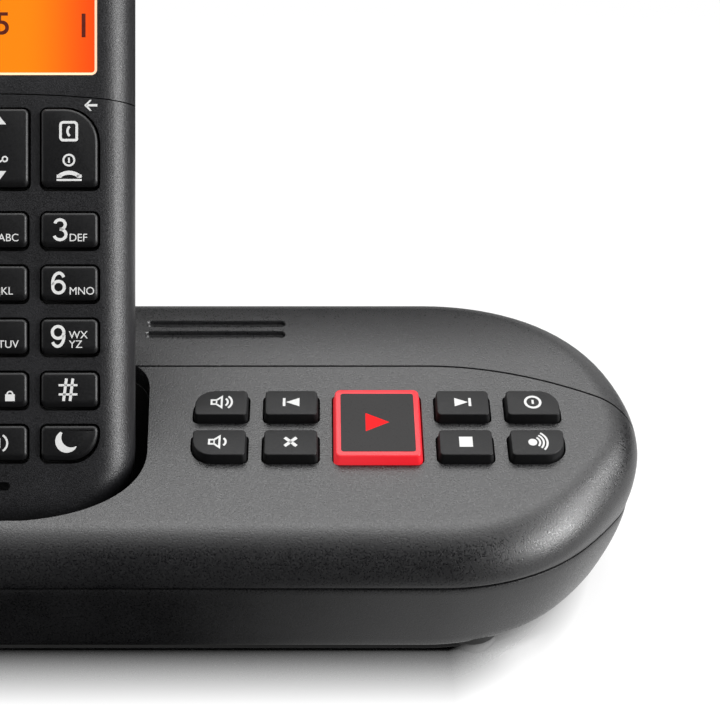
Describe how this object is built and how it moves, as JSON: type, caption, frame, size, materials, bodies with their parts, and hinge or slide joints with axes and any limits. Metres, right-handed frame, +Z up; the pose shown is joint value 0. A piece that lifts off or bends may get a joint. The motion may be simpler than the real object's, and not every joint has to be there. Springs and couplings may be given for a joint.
{
  "type": "answering machine",
  "caption": "Table-top answering machine: low rounded base with a sloped panel of push keys, speaker slots and a cradle holding a cordless handset with number pad and lit display.",
  "frame": {"origin": "middle of the footprint on the table, under the feet", "axes": "+X to the right seen from the front, +Y to the back, +Z up"},
  "size_m": [0.1634, 0.1052, 0.1528],
  "materials": {
    "housing_abs": "fine satin spark texture",
    "cup_abs": "satin",
    "handset_abs": "satin with a soft sheen",
    "key_plastic": "satin with white print",
    "pad_plastic": "semi gloss with white print",
    "light_guide": "lit red light guide",
    "cap_plastic": "smooth",
    "contact_metal": "nickel plated",
    "circuit_board": "solder mask",
    "silicone_mat": "matte",
    "led_lamp": "clear dome",
    "speaker_steel": "painted",
    "speaker_paper": "paper",
    "socket_plastic": "satin",
    "foot_rubber": "matte",
    "screw_steel": "zinc plated",
    "cell_sleeve": "printed sleeve",
    "lcd_panel": "lit orange display",
    "display_window": "clear hard coat",
    "sound_parts": "painted"
  },
  "bodies": {
    "base": {"base_bottom_housing": "housing_abs", "front_panel_cover": "housing_abs", "rear_top_cover": "housing_abs", "cradle_cup": "cup_abs", "charge_contacts": "contact_metal", "main_board": "circuit_board", "key_board": "circuit_board", "key_mat": "silicone_mat", "play_leds": "led_lamp", "speaker_basket": "speaker_steel", "speaker_cone": "speaker_paper", "speaker_magnet": "speaker_steel", "dc_jack": "socket_plastic", "line_jack": "socket_plastic", "rubber_feet": "foot_rubber", "housing_screws": "screw_steel"},
    "handset": {"handset_keypad_cover": "handset_abs", "handset_display_cover": "handset_abs", "handset_rear_cover": "handset_abs", "battery_cells": "cell_sleeve", "battery_contacts": "contact_metal", "lcd_module": "lcd_panel", "display_lens": "display_window", "handset_board": "circuit_board", "handset_key_mat": "silicone_mat", "earpiece_receiver": "sound_parts", "ringer_speaker": "sound_parts", "microphone": "sound_parts", "charge_pads": "contact_metal", "handset_screws": "screw_steel"},
    "play_key": {"play_light_body": "light_guide", "play_cap": "cap_plastic"},
    "battery_door": {"battery_door": "handset_abs"},
    "navigation_key": {"navigation_key": "pad_plastic"},
    "volume_up_key": {"volume_up_key": "key_plastic"},
    "volume_down_key": {"volume_down_key": "key_plastic"},
    "previous_key": {"previous_key": "key_plastic"},
    "delete_key": {"delete_key": "key_plastic"},
    "next_key": {"next_key": "key_plastic"},
    "stop_key": {"stop_key": "key_plastic"},
    "power_key": {"power_key": "key_plastic"},
    "page_key": {"page_key": "key_plastic"},
    "call_key": {"call_key": "pad_plastic"},
    "end_key": {"end_key": "pad_plastic"},
    "number_1_key": {"number_1_key": "pad_plastic"},
    "number_2_key": {"number_2_key": "pad_plastic"},
    "number_3_key": {"number_3_key": "pad_plastic"},
    "number_4_key": {"number_4_key": "pad_plastic"},
    "number_5_key": {"number_5_key": "pad_plastic"},
    "number_6_key": {"number_6_key": "pad_plastic"},
    "number_7_key": {"number_7_key": "pad_plastic"},
    "number_8_key": {"number_8_key": "pad_plastic"},
    "number_9_key": {"number_9_key": "pad_plastic"},
    "star_key": {"star_key": "pad_plastic"},
    "number_0_key": {"number_0_key": "pad_plastic"},
    "hash_key": {"hash_key": "pad_plastic"},
    "mute_key": {"mute_key": "pad_plastic"},
    "speakerphone_key": {"speakerphone_key": "pad_plastic"},
    "quiet_key": {"quiet_key": "pad_plastic"}
  },
  "joints": [
    {"name": "handset_lift", "type": "slide", "parent": "base", "child": "handset", "axis": [0, 0.5, 0.866], "range_m": [0, 0.07]},
    {"name": "volume_up_press", "type": "slide", "parent": "base", "child": "volume_up_key", "axis": [0, 0.2639, -0.9646], "range_m": [0, 0.0008], "stiffness_N_per_m": 300, "springref_m": -0.002},
    {"name": "volume_down_press", "type": "slide", "parent": "base", "child": "volume_down_key", "axis": [0, 0.2639, -0.9646], "range_m": [0, 0.0008], "stiffness_N_per_m": 300, "springref_m": -0.002},
    {"name": "previous_press", "type": "slide", "parent": "base", "child": "previous_key", "axis": [0, 0.2639, -0.9646], "range_m": [0, 0.0008], "stiffness_N_per_m": 300, "springref_m": -0.002},
    {"name": "delete_press", "type": "slide", "parent": "base", "child": "delete_key", "axis": [0, 0.2639, -0.9646], "range_m": [0, 0.0008], "stiffness_N_per_m": 300, "springref_m": -0.002},
    {"name": "next_press", "type": "slide", "parent": "base", "child": "next_key", "axis": [0, 0.2639, -0.9646], "range_m": [0, 0.0008], "stiffness_N_per_m": 300, "springref_m": -0.002},
    {"name": "stop_press", "type": "slide", "parent": "base", "child": "stop_key", "axis": [0, 0.2639, -0.9646], "range_m": [0, 0.0008], "stiffness_N_per_m": 300, "springref_m": -0.002},
    {"name": "power_press", "type": "slide", "parent": "base", "child": "power_key", "axis": [0, 0.2639, -0.9646], "range_m": [0, 0.0008], "stiffness_N_per_m": 300, "springref_m": -0.002},
    {"name": "page_press", "type": "slide", "parent": "base", "child": "page_key", "axis": [0, 0.2639, -0.9646], "range_m": [0, 0.0008], "stiffness_N_per_m": 300, "springref_m": -0.002},
    {"name": "play_press", "type": "slide", "parent": "base", "child": "play_key", "axis": [0, 0.2639, -0.9646], "range_m": [0, 0.0008], "stiffness_N_per_m": 300, "springref_m": -0.002},
    {"name": "call_press", "type": "slide", "parent": "handset", "child": "call_key", "axis": [0, 0.866, -0.5], "range_m": [0, 0.0005], "stiffness_N_per_m": 300, "springref_m": -0.002},
    {"name": "end_press", "type": "slide", "parent": "handset", "child": "end_key", "axis": [0, 0.866, -0.5], "range_m": [0, 0.0005], "stiffness_N_per_m": 300, "springref_m": -0.002},
    {"name": "number_1_press", "type": "slide", "parent": "handset", "child": "number_1_key", "axis": [0, 0.866, -0.5], "range_m": [0, 0.0005], "stiffness_N_per_m": 300, "springref_m": -0.002},
    {"name": "number_2_press", "type": "slide", "parent": "handset", "child": "number_2_key", "axis": [0, 0.866, -0.5], "range_m": [0, 0.0005], "stiffness_N_per_m": 300, "springref_m": -0.002},
    {"name": "number_3_press", "type": "slide", "parent": "handset", "child": "number_3_key", "axis": [0, 0.866, -0.5], "range_m": [0, 0.0005], "stiffness_N_per_m": 300, "springref_m": -0.002},
    {"name": "number_4_press", "type": "slide", "parent": "handset", "child": "number_4_key", "axis": [0, 0.866, -0.5], "range_m": [0, 0.0005], "stiffness_N_per_m": 300, "springref_m": -0.002},
    {"name": "number_5_press", "type": "slide", "parent": "handset", "child": "number_5_key", "axis": [0, 0.866, -0.5], "range_m": [0, 0.0005], "stiffness_N_per_m": 300, "springref_m": -0.002},
    {"name": "number_6_press", "type": "slide", "parent": "handset", "child": "number_6_key", "axis": [0, 0.866, -0.5], "range_m": [0, 0.0005], "stiffness_N_per_m": 300, "springref_m": -0.002},
    {"name": "number_7_press", "type": "slide", "parent": "handset", "child": "number_7_key", "axis": [0, 0.866, -0.5], "range_m": [0, 0.0005], "stiffness_N_per_m": 300, "springref_m": -0.002},
    {"name": "number_8_press", "type": "slide", "parent": "handset", "child": "number_8_key", "axis": [0, 0.866, -0.5], "range_m": [0, 0.0005], "stiffness_N_per_m": 300, "springref_m": -0.002},
    {"name": "number_9_press", "type": "slide", "parent": "handset", "child": "number_9_key", "axis": [0, 0.866, -0.5], "range_m": [0, 0.0005], "stiffness_N_per_m": 300, "springref_m": -0.002},
    {"name": "star_press", "type": "slide", "parent": "handset", "child": "star_key", "axis": [0, 0.866, -0.5], "range_m": [0, 0.0005], "stiffness_N_per_m": 300, "springref_m": -0.002},
    {"name": "number_0_press", "type": "slide", "parent": "handset", "child": "number_0_key", "axis": [0, 0.866, -0.5], "range_m": [0, 0.0005], "stiffness_N_per_m": 300, "springref_m": -0.002},
    {"name": "hash_press", "type": "slide", "parent": "handset", "child": "hash_key", "axis": [0, 0.866, -0.5], "range_m": [0, 0.0005], "stiffness_N_per_m": 300, "springref_m": -0.002},
    {"name": "mute_press", "type": "slide", "parent": "handset", "child": "mute_key", "axis": [0, 0.866, -0.5], "range_m": [0, 0.0005], "stiffness_N_per_m": 300, "springref_m": -0.002},
    {"name": "speakerphone_press", "type": "slide", "parent": "handset", "child": "speakerphone_key", "axis": [0, 0.866, -0.5], "range_m": [0, 0.0005], "stiffness_N_per_m": 300, "springref_m": -0.002},
    {"name": "quiet_press", "type": "slide", "parent": "handset", "child": "quiet_key", "axis": [0, 0.866, -0.5], "range_m": [0, 0.0005], "stiffness_N_per_m": 300, "springref_m": -0.002},
    {"name": "navigation_rock", "type": "hinge", "parent": "handset", "child": "navigation_key", "pos_m": [-0.0334, -0.00502, 0.07596], "axis": [1, 0, 0], "range_deg": [-2.5, 2.5], "stiffness_Nm_per_rad": 0.05},
    {"name": "battery_door_off", "type": "slide", "parent": "handset", "child": "battery_door", "axis": [0, 0.866, -0.5], "range_m": [0, 0.015]}
  ]
}
